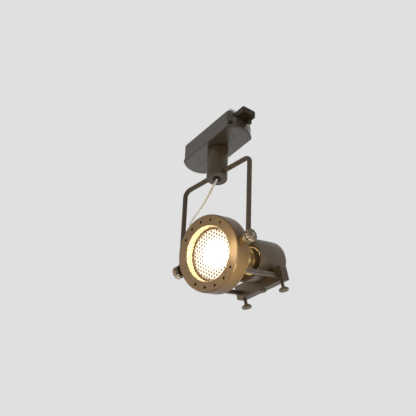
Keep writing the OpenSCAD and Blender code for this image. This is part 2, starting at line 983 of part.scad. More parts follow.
// The plate that carries the lampholder, with a tab for the centre screw.
module holder_plate() {
    plate_r = casing_r - casing_wall - eps;
    tab_back = bar_mid - tab_reach;
    color(metal_dark)
        on_head()
            difference() {
                union() {
                    rod_between(plate_r, plate_front - plate_thickness, plate_front);
                    intersection() {
                        translate([-tab_width / 2, -plate_r, tab_back])
                            cube([tab_width, tab_height, plate_front - tab_back - eps]);
                        rod_between(plate_r, tab_back - through, plate_front);
                    }
                }
                rod_between(holder_d / 2 + eps, plate_front - plate_thickness - through,
                            plate_front + through);
                translate([0, 0, bar_mid])
                    rotate([-90, 0, 0])
                        rod_between(centre_screw_d / 2 + eps, -casing_r,
                                    -plate_r + tab_height + through);
            }
}

module lampholder() {
    hole_r = pin_d / 2 + clear_gap;
    color(ceramic)
        on_head()
            difference() {
                rod_between(holder_d / 2, holder_back, holder_front);
                for (side = [-1, 1])
                    translate([side * pin_pitch / 2, 0, 0])
                        rod_between(hole_r, pin_end_z - through, holder_front + through);
            }
}

// The bright clamping ring round the lampholder.
module holder_collar() {
    color(brass)
        on_head() tube_between(holder_d / 2 + collar_wall, holder_d / 2 + eps, plate_front,
                               collar_front);
}

module centre_screw() {
    head_low = bar_bottom - centre_head_height;
    color(black)
        on_head()
            translate([0, 0, bar_mid])
                rotate([-90, 0, 0])
                    difference() {
                        union() {
                            rod_between(centre_screw_d / 2, bar_bottom - eps, centre_screw_end);
                            rod_between(centre_head_d / 2, head_low, bar_bottom);
                        }
                        translate([0, 0, head_low])
                            cube([2 * centre_head_d, slot_width, 2 * slot_depth], center = true);
                    }
}

module cable_grommet() {
    nose_end = grommet_flange_height + nose_length;
    color(black)
        on_head()
            at_grommet()
                difference() {
                    union() {
                        rod_between(grommet_d / 2, -grommet_inner_length, eps);
                        rod_between(grommet_flange_d / 2, 0, grommet_flange_height);
                        translate([0, 0, grommet_flange_height - eps])
                            cylinder(d1 = nose_root_d, d2 = nose_tip_d, h = nose_length + eps);
                    }
                    rod_between(bush_bore_d / 2, -grommet_inner_length - through,
                                nose_end + through);
                }
}

// A thumb screw that clamps the cross bar on its rail.
module thumb_screw(side) {
    translate([side * rail_offset, 0, bar_mid])
        rotate([-90, 0, 0]) {
            rod_between(thumb_shank_d / 2, thumb_head_top - eps,
                        rail_y - rail_size[1] / 2 - clear_gap);
            scalloped_disc(thumb_d, thumb_lobes, thumb_head_top - thumb_head_height,
                           thumb_head_top);
            rod_between(thumb_hub_r, thumb_head_top - eps, thumb_head_top + thumb_hub_height);
        }
}

module right_thumb_screw() {
    color(metal_dark) on_head() thumb_screw(1);
}

module left_thumb_screw() {
    color(metal_dark) on_head() thumb_screw(-1);
}

adapter_base();
adapter_shell_near();
adapter_shell_far();
shell_screw();
side_contacts();
earth_contact();
terminal_block();
terminal_screws();
lock_cam();
lock_lever();
swivel_washer();
swivel_nut();
stem_nipple();
stem_washer();
stem_tube();
stem_grub_screw();
stem_end_disc();
cable_bush();
yoke_rod();
cable();
pivot_studs();
pivot_spacers();
right_knob();
left_knob();
front_ring();
ring_back_plate();
retaining_ring();
lamp_lens();
lamp_reflector();
lamp_capsule();
lamp_base();
lamp_pins();
side_rails();
cross_bar();
rear_casing();
holder_plate();
lampholder();
holder_collar();
centre_screw();
cable_grommet();
right_thumb_screw();
left_thumb_screw();
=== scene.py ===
"""Looks for the track spotlight: studio, camera, cable, detailed pieces and procedural materials.

Everything is in the CAD frame, in metres. The origin is on the stem's axis in the plane of the
track's underside, +Z is up. The head has its own directions: X along the tilt axis, Y up across
the beam and Z forward along the beam.
"""
import math

import bpy
import numpy as np
from mathutils import Matrix, Vector


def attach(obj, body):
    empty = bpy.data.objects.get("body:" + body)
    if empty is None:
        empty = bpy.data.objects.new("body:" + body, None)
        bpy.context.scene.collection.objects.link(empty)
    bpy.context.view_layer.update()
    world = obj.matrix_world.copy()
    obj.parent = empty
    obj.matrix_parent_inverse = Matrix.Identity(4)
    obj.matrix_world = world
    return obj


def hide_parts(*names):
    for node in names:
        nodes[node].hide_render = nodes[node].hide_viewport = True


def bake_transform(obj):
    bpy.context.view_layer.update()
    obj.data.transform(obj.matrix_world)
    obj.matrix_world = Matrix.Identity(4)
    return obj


MM = 0.001
TAU = 2 * math.pi

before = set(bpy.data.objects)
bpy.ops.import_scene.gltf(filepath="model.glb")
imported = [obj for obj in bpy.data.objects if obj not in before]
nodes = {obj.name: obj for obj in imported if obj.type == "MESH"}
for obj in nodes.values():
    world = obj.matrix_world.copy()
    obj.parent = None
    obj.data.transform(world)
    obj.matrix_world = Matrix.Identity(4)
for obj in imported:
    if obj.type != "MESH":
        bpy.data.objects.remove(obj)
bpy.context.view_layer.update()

# ---- directions of the yoke and the head ----
SWIVEL = math.radians(9)
TILT = math.radians(20)
PIVOT_Z = -153.5 * MM
YOKE = Matrix.Rotation(SWIVEL, 4, "Z")
HEAD = YOKE @ Matrix.Translation((0, 0, PIVOT_Z)) @ Matrix.Rotation(TILT + math.pi / 2, 4, "X")


# ---- camera: at the photograph's angle, below the lamp and looking up ----
CAMERA_TURNS = (54.634, 36.411, 2.529)  # azimuth, elevation and roll in degrees
CAMERA_OFFSET = Vector((11.184, -77.993, 1227.641)) * MM  # the origin, as the camera sees it
CAMERA_LENS = 100.675
CAMERA_SENSOR = 36
CAMERA_RANGE = (0.01, 60)


def add_camera():
    """Places the camera so that the origin falls at CAMERA_OFFSET in its own directions."""
    azimuth, elevation, roll = (math.radians(angle) for angle in CAMERA_TURNS)
    across = Vector((math.cos(azimuth), math.sin(azimuth), 0))
    level = Vector((-math.sin(azimuth), math.cos(azimuth), 0))
    forward = level * math.cos(elevation) + Vector((0, 0, math.sin(elevation)))
    up = across.cross(forward)
    right = across * math.cos(roll) + up * math.sin(roll)
    above = up * math.cos(roll) - across * math.sin(roll)
    place = -(right * CAMERA_OFFSET.x - above * CAMERA_OFFSET.y + forward * CAMERA_OFFSET.z)
    camera = bpy.data.objects.new("camera", bpy.data.cameras.new("camera"))
    camera.data.sensor_width = CAMERA_SENSOR
    camera.data.lens = CAMERA_LENS
    camera.data.clip_start, camera.data.clip_end = CAMERA_RANGE
    turn = Matrix((right, above, -forward)).transposed().to_4x4()
    camera.matrix_world = Matrix.Translation(place) @ turn
    bpy.context.scene.collection.objects.link(camera)
    bpy.context.scene.camera = camera


add_camera()


# ---- mesh helpers ----
def new_object(name, verts, faces, matrix=None, smooth_angle=35):
    """An object in the scene; edges sharper than smooth_angle degrees stay sharp."""
    mesh = bpy.data.meshes.new(name)
    mesh.from_pydata([tuple(v) for v in verts], [], faces)
    mesh.validate()
    mesh.shade_smooth()
    mesh.set_sharp_from_angle(angle=math.radians(smooth_angle))
    obj = bpy.data.objects.new(name, mesh)
    bpy.context.scene.collection.objects.link(obj)
    if matrix is not None:
        obj.matrix_world = matrix
    return obj


def tube_mesh(name, points, radius, sides):
    """A round tube along points, with flat ends."""
    count = len(points)
    verts = []
    reference = Vector((0.6, -0.6, 0.5))  # never in line with the tube
    for i, centre in enumerate(points):
        along = (points[min(i + 1, count - 1)] - points[max(i - 1, 0)]).normalized()
        side = along.cross(reference).normalized()
        other = along.cross(side)
        for k in range(sides):
            angle = TAU * k / sides
            verts.append(centre + radius * (side * math.cos(angle) + other * math.sin(angle)))
    faces = []
    for i in range(count - 1):
        for k in range(sides):
            n = (k + 1) % sides
            faces.append((i * sides + k, i * sides + n, (i + 1) * sides + n, (i + 1) * sides + k))
    faces.append(tuple(range(sides - 1, -1, -1)))
    faces.append(tuple((count - 1) * sides + k for k in range(sides)))
    return new_object(name, verts, faces, smooth_angle=60)


def lathe(name, profile, sides, matrix, wave=None, smooth_angle=40):
    """Turns a profile of (radius, height) in mm; wave(row, angle) gives an added radius.

    A profile that starts on the axis has to end on it, and one that starts off it is closed into
    a ring.
    """
    verts, rings = [], []
    for row, (radius, height) in enumerate(profile):
        if radius == 0:
            rings.append([len(verts)])
            verts.append((0, 0, height * MM))
            continue
        rings.append(list(range(len(verts), len(verts) + sides)))
        for k in range(sides):
            angle = TAU * k / sides
            r = (radius + (wave(row, angle) if wave else 0.0)) * MM
            verts.append((r * math.cos(angle), r * math.sin(angle), height * MM))
    faces = []
    closed = profile[0][0] > 0
    pairs = list(zip(rings, rings[1:])) + ([(rings[-1], rings[0])] if closed else [])
    for lower, upper in pairs:
        for k in range(sides):
            n = (k + 1) % sides
            if len(lower) == 1:
                faces.append((lower[0], upper[n], upper[k]))
            elif len(upper) == 1:
                faces.append((lower[k], lower[n], upper[0]))
            else:
                faces.append((lower[k], lower[n], upper[n], upper[k]))
    return new_object(name, verts, faces, matrix, smooth_angle)


# ---- cable: out of the stem's bush, a slack bow, round into the casing's rear face ----
CABLE_D = 2.2 * MM
CABLE_SIDES = 16
ROUTE_STEPS = 6
CABLE_ROUTE = [  # stations in mm, in the yoke's directions
    (0, 0, -57.4), (0, 0, -59.2), (-0.4, 0, -61.4), (-2.8, 0, -64.8), (-6, 0, -68.8),
    (-11.6, 0, -76.6), (-17.4, 0, -83.2), (-24, 0, -89), (-31.2, 0, -94.4),
    (-37, 1, -100), (-39.6, 6, -106.4), (-39.5, 15, -113), (-38, 28, -118.5), (-36.5, 45, -122),
    (-35.5, 62, -122.5), (-35, 78, -119.5), (-33.8, 92, -115.2), (-30, 101.5, -112.1),
    (-22.5, 106, -110.6), (-14.5, 102.9, -111.7), (-10.6, 98.2, -113.5), (-10, 92, -115.7),
    (-10, 86, -117.9), (-10, 80, -120.1), (-10, 74.5, -122.1),
]


def smooth_route(route, steps):
    """Catmull-Rom curve through the route, with that many steps between stations."""
    route = [Vector(station) for station in route]
    last = len(route) - 1
    line = []
    for i in range(last):
        a, b, c, d = (route[min(max(j, 0), last)] for j in (i - 1, i, i + 1, i + 2))
        for s in range(steps):
            t = s / steps
            line.append(0.5 * (2 * b + (c - a) * t + (2 * a - 5 * b + 4 * c - d) * t * t
                               + (3 * b - a - 3 * c + d) * t ** 3))
    return line + [route[last]]


cable_line = [YOKE @ (point * MM) for point in smooth_route(CABLE_ROUTE, ROUTE_STEPS)]
cable = tube_mesh("cable_run", cable_line, CABLE_D / 2, CABLE_SIDES)
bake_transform(cable)
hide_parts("cable")
cable_steps = [0.0] + [(b - a).length for a, b in zip(cable_line, cable_line[1:])]


def label_cable():
    """Marks every ring of the cable's mesh with its distance in metres from the stem."""
    run = cable.data.attributes.new("run", "FLOAT", "POINT")
    run.data.foreach_set("value", np.repeat(np.cumsum(cable_steps), CABLE_SIDES))


label_cable()


# ---- materials ----
FLECK_TINT = (0.72, 0.72, 0.73, 1)  # what the fine grain darkens the colour by
FLECK_MOST = 0.55
NOISE_ROUGHNESS = 0.55
COAT_ROUGHNESS = 0.25
WEAR_AND_SHEEN_MOST = 0.85
WEAR_AND_SHEEN_EDGE = (0.8, 0.995)  # cosines between which an edge goes from the full edge colour (bare wear, and on the rails also a painted highlight) to the plain paint


def new_material(name):
    mat = bpy.data.materials.new(name)
    mat.use_nodes = True
    tree = mat.node_tree
    return mat, tree.nodes, tree.links, tree.nodes["Principled BSDF"]


def noise(nodes_, links, coords, scale, detail=3.0, stretch=None):
    """A noise texture's value; stretch scales the coordinates first."""
    tex = nodes_.new("ShaderNodeTexNoise")
    tex.inputs["Scale"].default_value = scale
    tex.inputs["Detail"].default_value = detail
    tex.inputs["Roughness"].default_value = NOISE_ROUGHNESS
    source = coords
    if stretch is not None:
        mapping = nodes_.new("ShaderNodeMapping")
        mapping.inputs["Scale"].default_value = stretch
        links.new(coords, mapping.inputs["Vector"])
        source = mapping.outputs["Vector"]
    links.new(source, tex.inputs["Vector"])
    return tex.outputs["Fac"]


def ramp(nodes_, links, value, stops):
    """A colour ramp through (position, colour) stops."""
    node = nodes_.new("ShaderNodeValToRGB")
    elements = node.color_ramp.elements
    while len(elements) < len(stops):
        elements.new(0.5)
    for element, (position, colour) in zip(elements, stops):
        element.position = position
        element.color = (*colour, 1)
    links.new(value, node.inputs["Fac"])
    return node.outputs["Color"]


def scaled(colour, factor):
    return tuple(min(1.0, c * factor) for c in colour)


def span(nodes_, links, value, low, high, from_low=0.3, from_high=0.7):
    """Maps value from its own span to low..high."""
    node = nodes_.new("ShaderNodeMapRange")
    node.inputs["From Min"].default_value = from_low
    node.inputs["From Max"].default_value = from_high
    node.inputs["To Min"].default_value = low
    node.inputs["To Max"].default_value = high
    links.new(value, node.inputs["Value"])
    return node.outputs["Result"]


def surface(name, colour, roughness, metallic=0.0, vary=0.18, patch=90, grain=2600,
            grain_height=0.02, rough_vary=0.06, stretch=None, specular=0.5, coat=0.0,
            wear_and_sheen=0.0, wear_and_sheen_colour=None, clear=0.0):
    """A worked surface: broad colour patches, fine grain in bump and gloss, and lighter worn
    edges, which on the rails are also a painted highlight.
    """
    mat, nodes_, links, bsdf = new_material(name)
    coords = nodes_.new("ShaderNodeTexCoord").outputs["Object"]
    broad = noise(nodes_, links, coords, patch, 4.0)
    fine = noise(nodes_, links, coords, grain, 2.0, stretch)
    tone = ramp(nodes_, links, broad, [(0.3, scaled(colour, 1 - vary)), (0.52, colour),
                                       (0.72, scaled(colour, 1 + vary))])
    fleck = nodes_.new("ShaderNodeMix")
    fleck.data_type = "RGBA"
    fleck.blend_type = "MULTIPLY"
    links.new(span(nodes_, links, fine, 0.0, FLECK_MOST), fleck.inputs["Factor"])
    links.new(tone, fleck.inputs["A"])
    fleck.inputs["B"].default_value = FLECK_TINT
    colour_out = fleck.outputs["Result"]
    # Lighter edges: worn paint, and where the edge colour is bright (the rails) also a painted
    # highlight.
    if wear_and_sheen > 0:
        bevel = nodes_.new("ShaderNodeBevel")
        bevel.samples = 4
        bevel.inputs["Radius"].default_value = wear_and_sheen
        geometry = nodes_.new("ShaderNodeNewGeometry")
        dot = nodes_.new("ShaderNodeVectorMath")
        dot.operation = "DOT_PRODUCT"
        links.new(bevel.outputs["Normal"], dot.inputs[0])
        links.new(geometry.outputs["Normal"], dot.inputs[1])
        edge = span(nodes_, links, dot.outputs["Value"], WEAR_AND_SHEEN_MOST, 0.0, *WEAR_AND_SHEEN_EDGE)
        patchy_edge = nodes_.new("ShaderNodeMath")
        patchy_edge.operation = "MULTIPLY"
        links.new(edge, patchy_edge.inputs[0])
        links.new(span(nodes_, links, broad, 0.15, 1.0, 0.35, 0.65), patchy_edge.inputs[1])
        rub_and_sheen = nodes_.new("ShaderNodeMix")
        rub_and_sheen.data_type = "RGBA"
        links.new(patchy_edge.outputs["Value"], rub_and_sheen.inputs["Factor"])
        links.new(colour_out, rub_and_sheen.inputs["A"])
        rub_and_sheen.inputs["B"].default_value = (*(wear_and_sheen_colour or scaled(colour, 2.2)), 1)
        colour_out = rub_and_sheen.outputs["Result"]
    links.new(colour_out, bsdf.inputs["Base Color"])
    rough_noise = noise(nodes_, links, coords, patch * 4, 3.0)
    links.new(span(nodes_, links, rough_noise, roughness - rough_vary, roughness + rough_vary),
              bsdf.inputs["Roughness"])
    bsdf.inputs["Metallic"].default_value = metallic
    bsdf.inputs["Specular IOR Level"].default_value = specular
    bsdf.inputs["Transmission Weight"].default_value = clear
    if coat > 0:
        bsdf.inputs["Coat Weight"].default_value = coat
        bsdf.inputs["Coat Roughness"].default_value = COAT_ROUGHNESS
    bump = nodes_.new("ShaderNodeBump")
    bump.inputs["Distance"].default_value = grain_height * MM
    bump.inputs["Strength"].default_value = 1.0
    links.new(fine, bump.inputs["Height"])
    links.new(bump.outputs["Normal"], bsdf.inputs["Normal"])
    return mat


ADAPTER = surface("adapter_plastic", (0.05, 0.038, 0.026), 0.26, vary=0.1, patch=60,
                  grain=1800, grain_height=0.03, wear_and_sheen=0.5 * MM, specular=0.33)
# The lock lever's plastic is much darker than the adapter's: painted shade, standing in for the
# track's shadow over the lever.
LEVER_PAINTED_SHADE = surface("lever_plastic_painted_shade", (0.022, 0.015, 0.006), 0.4, vary=0.1, patch=60, grain=1800,
                grain_height=0.02, wear_and_sheen=0.5 * MM, specular=0.15)
STEM = surface("stem_paint", (0.062, 0.042, 0.021), 0.4, vary=0.14, patch=70, grain=2400,
               grain_height=0.03, wear_and_sheen=0.4 * MM, specular=0.24)
BRONZE = surface("bronze_paint", (0.114, 0.067, 0.024), 0.36, metallic=0.3, vary=0.12,
                 patch=70, grain=2400, grain_height=0.02, wear_and_sheen=0.4 * MM, specular=0.38)
CASING = surface("casing_paint", (0.078, 0.054, 0.033), 0.38, metallic=0.1, vary=0.12,
                 patch=70, grain=2400, grain_height=0.02, wear_and_sheen=0.4 * MM, specular=0.4)
BAR = surface("bar_paint", (0.05, 0.031, 0.013), 0.36, metallic=0.1, vary=0.14, patch=90,
              grain=2400, grain_height=0.02, wear_and_sheen=0.5 * MM, specular=0.32)
RETAINER = surface("retainer_paint", (0.05, 0.028, 0.009), 0.5, vary=0.2, patch=120, grain=2500,
                   grain_height=0.02, specular=0.2)
KNOB = surface("knob_metal", (0.122, 0.09, 0.056), 0.4, metallic=0.6, vary=0.35, patch=420,
               grain=1900, grain_height=0.04, wear_and_sheen=0.35 * MM, wear_and_sheen_colour=(0.5, 0.44, 0.36))
STEEL = surface("plain_steel", (0.5, 0.47, 0.43), 0.3, metallic=1.0, vary=0.12, patch=120,
                grain=1500, grain_height=0.01, stretch=(1, 1, 0.05))
# The rails' edges take a near-white edge colour: partly wear, partly a painted highlight where
# their lower edges catch the light.
RAIL = surface("rail_steel", (0.12, 0.096, 0.072), 0.4, metallic=0.8, vary=0.15, patch=150,
               grain=1500, grain_height=0.015, wear_and_sheen=0.5 * MM, wear_and_sheen_colour=(0.75, 0.7, 0.65))
BRASS = surface("brass", (0.75, 0.55, 0.22), 0.28, metallic=1.0, vary=0.15, patch=150,
                grain=2200, grain_height=0.01)
BLACK = surface("black_part", (0.014, 0.012, 0.01), 0.55, vary=0.2, patch=120, grain=2500,
                grain_height=0.02, specular=0.3)
BUSH = surface("bush_rubber", (0.016, 0.01, 0.004), 0.6, vary=0.2, patch=120, grain=2500,
               grain_height=0.02, specular=0.12)
COLLAR = surface("collar_brass", (0.78, 0.58, 0.26), 0.55, metallic=0.3, vary=0.1, patch=150,
                 grain=2200, grain_height=0.01)
CREAM = surface("cream_moulding", (0.68, 0.63, 0.52), 0.5, vary=0.08, patch=90, grain=2200,
                grain_height=0.02)
CERAMIC = surface("lamp_ceramic", (0.2, 0.17, 0.115), 0.45, vary=0.06, patch=80, grain=2600,
                  grain_height=0.02)
HOLDER = surface("holder_ceramic", (0.065, 0.043, 0.018), 0.5, vary=0.15, patch=110,
                 grain=2200, grain_height=0.03)
SHEATH = surface("cable_sheath", (0.95, 0.93, 0.88), 0.32, vary=0.05, patch=60, grain=1500,
                 grain_height=0.01, coat=0.4, clear=0.5)


TINTED_RUN = 50 * MM


def tint_sheath():
    """The clear sheath's colour is tinted along its run: golden a short way below the stem and
    paler further down.
    """
    nodes_, links = SHEATH.node_tree.nodes, SHEATH.node_tree.links
    run = nodes_.new("ShaderNodeAttribute")
    run.attribute_name = "run"
    along = span(nodes_, links, run.outputs["Fac"], 0.0, 1.0, 0.0, TINTED_RUN)
    tint = ramp(nodes_, links, along, [
        (0.18, (0.92, 0.91, 0.9)), (0.3, (0.82, 0.7, 0.5)), (0.55, (0.95, 0.86, 0.68)),
        (0.8, (1.0, 0.97, 0.9)), (1.0, (1.0, 1.0, 0.99))])
    base = nodes_["Principled BSDF"].inputs["Base Color"]
    mixed = nodes_.new("ShaderNodeMix")
    mixed.data_type = "RGBA"
    mixed.blend_type = "MULTIPLY"
    mixed.inputs["Factor"].default_value = 1.0
    links.new(base.links[0].from_socket, mixed.inputs["A"])
    links.new(tint, mixed.inputs["B"])
    links.new(mixed.outputs["Result"], base)


tint_sheath()

NODE_MATERIALS = {
    "adapter_base": ADAPTER, "adapter_shell_near": ADAPTER, "adapter_shell_far": ADAPTER,
    "shell_screw": BLACK, "side_contacts": BRASS, "earth_contact": BRASS,
    "terminal_block": CREAM, "terminal_screws": BRASS, "lock_cam": STEEL, "lock_lever": LEVER_PAINTED_SHADE,
    "swivel_washer": STEEL, "swivel_nut": BRASS, "stem_nipple": STEEL, "stem_washer": BLACK,
    "stem_tube": STEM, "stem_grub_screw": BLACK, "stem_end_disc": STEM, "cable_bush": BUSH,
    "yoke_rod": STEM, "pivot_spacers": BRONZE, "front_ring": BRONZE, "ring_back_plate": BRONZE,
    "retaining_ring": RETAINER, "lamp_base": CERAMIC, "lamp_pins": STEEL, "side_rails": RAIL,
    "cross_bar": BAR, "rear_casing": CASING, "holder_plate": HOLDER, "lampholder": HOLDER,
    "holder_collar": COLLAR, "centre_screw": KNOB,
}
BEVELS = {  # widths in mm of the rounded edges
    "adapter_base": 0.3, "adapter_shell_near": 0.25, "adapter_shell_far": 0.25, "lock_cam": 0.3,
    "lock_lever": 0.6, "terminal_block": 0.3, "stem_tube": 0.35, "yoke_rod": 0.25,
    "pivot_spacers": 0.2, "cross_bar": 0.25, "side_rails": 0.3, "rear_casing": 0.3,
    "lamp_base": 0.3, "lampholder": 0.4, "holder_collar": 0.2, "swivel_nut": 0.3,
    "side_contacts": 0.15, "earth_contact": 0.15,
}
WELD_REACH = 0.002 * MM
BEVEL_SEGMENTS = 2
BEVEL_ANGLE = math.radians(35)
for node_name, material in NODE_MATERIALS.items():
    obj = nodes[node_name]
    obj.data.materials.clear()
    obj.data.materials.append(material)
    width = BEVELS.get(node_name, 0.0)
    if width > 0:
        weld = obj.modifiers.new("weld", "WELD")
        weld.merge_threshold = WELD_REACH
        bevel_mod = obj.modifiers.new("edges", "BEVEL")
        bevel_mod.width = width * MM
        bevel_mod.segments = BEVEL_SEGMENTS
        bevel_mod.limit_method = "ANGLE"
        bevel_mod.angle_limit = BEVEL_ANGLE
        bevel_mod.use_clamp_overlap = True
        bevel_mod.harden_normals = True

cable.data.materials.append(SHEATH)


# ---- turned pieces with knurls, threads and ribs ----
def finish_piece(obj, material, body, node):
    """Gives a detailed piece its material and body, and puts it in place of its CAD node."""
    obj.data.materials.append(material)
    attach(obj, body)
    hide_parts(node)


def thread(radius, depth, pitch, start, end):
    """Profile points for a threaded length from start to end: root, crest, crest, root."""
    turns = int((end - start) / pitch)
    points = []
    for i in range(turns):
        z = start + i * pitch
        points += [(radius - depth, z), (radius, z + 0.3 * pitch), (radius, z + 0.5 * pitch),
                   (radius - depth, z + 0.8 * pitch)]
    return points


def gripped_rim(rows, lobes, depth, teeth, tooth):
    """Rounded hollows and a fine knurl on the chosen rows."""
    def wave(row, angle):
        if row not in rows:
            return 0.0
        hollow = max(0.0, math.cos(lobes * angle)) ** 2
        return -depth * hollow - tooth * (0.5 + 0.5 * math.cos(teeth * angle))
    return wave


def hex_socket(rows, flats, radius):
    """Turns the chosen rows into a hexagon of that width across its flats."""
    def wave(row, angle):
        if row not in rows:
            return 0.0
        turn = (angle + math.pi / 6) % (math.pi / 3) - math.pi / 6
        return flats / 2 / math.cos(turn) - radius
    return wave


# Heights are from the beam's axis: knobs and studs along the tilt axis, thumb screws across it.
KNOB_PROFILE = [
    (2.05, 47.5), (5.9, 47.5), (6.45, 47.85), (6.45, 51.25), (6.1, 51.65), (5.3, 51.7),
    (5.1, 51.45), (4.4, 51.45), (4.2, 51.7), (3.9, 51.8), (3.75, 52.2), (3.5, 52.3),
    (2.5, 52.3), (2.05, 52.0),
]
THUMB_HEAD = [
    (0, -40.8), (1.5, -40.8), (2.0, -41.2), (4.6, -41.2), (5.0, -40.85), (5.0, -38.8),
    (4.65, -38.4), (3.3, -38.4), (3.0, -38.1), (2.9, -37.8), (0, -37.8),
]
THUMB_NECK = [(0, -37.8), (2.9, -37.8), (2.9, -37.45), (2.6, -37.2), (1.75, -37.2),
              (1.75, -36.4)]
THUMB_TIP = [(1.5, -28.0), (1.3, -27.6), (0, -27.6)]
STUD_R = 2.0
STUD_PLAIN = [(0, 31), (STUD_R, 31), (STUD_R, 43.9)]
STUD_TIP = [(STUD_R, 52.55), (1.75, 52.8)]
SOCKET_R = 1.0
SOCKET = [(SOCKET_R, 52.8), (SOCKET_R, 51.7), (0, 51.5)]
SOCKET_FLATS = 2.0
THUMB_R = 1.75
THREAD_DEPTH = 0.22
THREAD_PITCH = 0.7
BAR_MID = -65.4
THUMB_X = 25
KNOB_SIDES, THUMB_SIDES, PLAIN_SIDES = 300, 240, 48
for side, word in ((1, "right"), (-1, "left")):
    outwards = HEAD @ Matrix.Rotation(side * math.pi / 2, 4, "Y")
    knob = lathe(word + "_knob_turned", KNOB_PROFILE, KNOB_SIDES, outwards,
                 gripped_rim((1, 2, 3, 4), lobes=10, depth=0.6, teeth=60, tooth=0.14))
    finish_piece(knob, KNOB, word + "_knob", word + "_knob")
    stud_profile = (STUD_PLAIN + thread(STUD_R, THREAD_DEPTH, THREAD_PITCH, 44.1, 52.5)
                    + STUD_TIP)
    socket_row = len(stud_profile)
    stud = lathe(word + "_stud_threaded", stud_profile + SOCKET, PLAIN_SIDES, outwards,
                 hex_socket((socket_row, socket_row + 1), SOCKET_FLATS, SOCKET_R))
    finish_piece(stud, STEEL, "head", "pivot_studs")
    upright = HEAD @ Matrix.Translation((side * THUMB_X * MM, 0, BAR_MID * MM)) @ Matrix.Rotation(
        -math.pi / 2, 4, "X")
    head = lathe(word + "_thumb_turned", THUMB_HEAD, THUMB_SIDES, upright,
                 gripped_rim((3, 4, 5, 6), lobes=12, depth=0.45, teeth=60, tooth=0.1))
    finish_piece(head, KNOB, word + "_thumb_screw", word + "_thumb_screw")
    shank_thread = thread(THUMB_R, THREAD_DEPTH, THREAD_PITCH, -36.2, -28.2)
    shank = lathe(word + "_thumb_shank", THUMB_NECK + shank_thread + THUMB_TIP, PLAIN_SIDES,
                  upright)
    finish_piece(shank, BAR, word + "_thumb_screw", word + "_thumb_screw")

# strain relief: the barrel inside the casing, the flange and the ribbed nose
GROMMET_RIBS = 6
RIB_START, RIB_PITCH, RIB_WIDTH, RIB_FLANK = 1.5, 0.9, 0.42, 0.12
RIB_R, RIB_TAPER, RIB_DEPTH = 3.15, 0.17, 0.35
NOSE_END = 6.95
GROMMET_PLACE = Vector((-10, 4, -88)) * MM
grommet_profile = [(1.35, -2.4), (2.8, -2.4), (3.0, -2.2), (3.0, 0), (4.3, 0), (4.5, 0.2),
                   (4.5, 0.9), (4.2, 1.2), (3.3, 1.2)]
for rib in range(GROMMET_RIBS):
    rib_z = RIB_START + RIB_PITCH * rib
    rib_r = RIB_R - RIB_TAPER * rib
    grommet_profile += [(rib_r - RIB_DEPTH, rib_z - RIB_FLANK), (rib_r, rib_z),
                        (rib_r, rib_z + RIB_WIDTH),
                        (rib_r - RIB_DEPTH, rib_z + RIB_WIDTH + RIB_FLANK)]
grommet_profile += [(2.0, NOSE_END), (1.35, NOSE_END)]
grommet = lathe("grommet_ribbed", grommet_profile, PLAIN_SIDES,
                HEAD @ Matrix.Translation(GROMMET_PLACE) @ Matrix.Rotation(math.pi, 4, "X"))
finish_piece(grommet, BLACK, "carriage", "cable_grommet")


# ---- lamp: a textured lens over a lit reflector ----
LENS_TONE = (1.0, 0.95, 0.84, 1)
LENS_BODY = (0.03, 0.026, 0.02, 1)
WASH_OUT = (0.25, 0.85)  # nearness to the core over which the dots wash out
GLOW_RISE = (0.2, 1.0)  # nearness to the core over which the glow rises
GLOW_STRENGTH = (1.25, 6.0)


def lens_material():
    """Bright cells between dark golden dots, washed out towards the hot core."""
    mat, nodes_, links, bsdf = new_material("lit_lens")
    dots = nodes_.new("ShaderNodeAttribute")
    dots.attribute_name = "dot"
    core = nodes_.new("ShaderNodeAttribute")
    core.attribute_name = "core"
    colour = ramp(nodes_, links, dots.outputs["Fac"], [
        (0.0, (1.0, 0.95, 0.86)), (0.45, (1.0, 0.82, 0.5)), (0.75, (0.36, 0.19, 0.05)),
        (1.0, (0.08, 0.035, 0.01))])
    glow = nodes_.new("ShaderNodeMix")
    glow.data_type = "RGBA"
    links.new(span(nodes_, links, core.outputs["Fac"], 0.0, 1.0, *WASH_OUT),
              glow.inputs["Factor"])
    links.new(colour, glow.inputs["A"])
    glow.inputs["B"].default_value = LENS_TONE
    links.new(glow.outputs["Result"], bsdf.inputs["Emission Color"])
    links.new(span(nodes_, links, core.outputs["Fac"], *GLOW_STRENGTH, *GLOW_RISE),
              bsdf.inputs["Emission Strength"])
    bsdf.inputs["Base Color"].default_value = LENS_BODY
    bsdf.inputs["Roughness"].default_value = 0.3
    bsdf.inputs["Specular IOR Level"].default_value = 0.3
    mat.cycles.emission_sampling = "NONE"
    return mat


LENS_R = 24.9
LENS_Z = 0.9
LENS_CROWN = 0.9
LATTICE_PITCH = 3.8
LATTICE_TURN = math.radians(19)
DOME_HEIGHT = 0.5
DOME_VALLEY = -0.1
DOT_R, DOT_EDGE = 1.8, 0.85  # a dot's outer radius, and the width over which it fades in
CORE_X, CORE_Y, CORE_R = 4.8, -1.0, 22  # the hot spot's centre and reach
ROW = math.sqrt(0.75)  # from row to row in a lattice of equal triangles


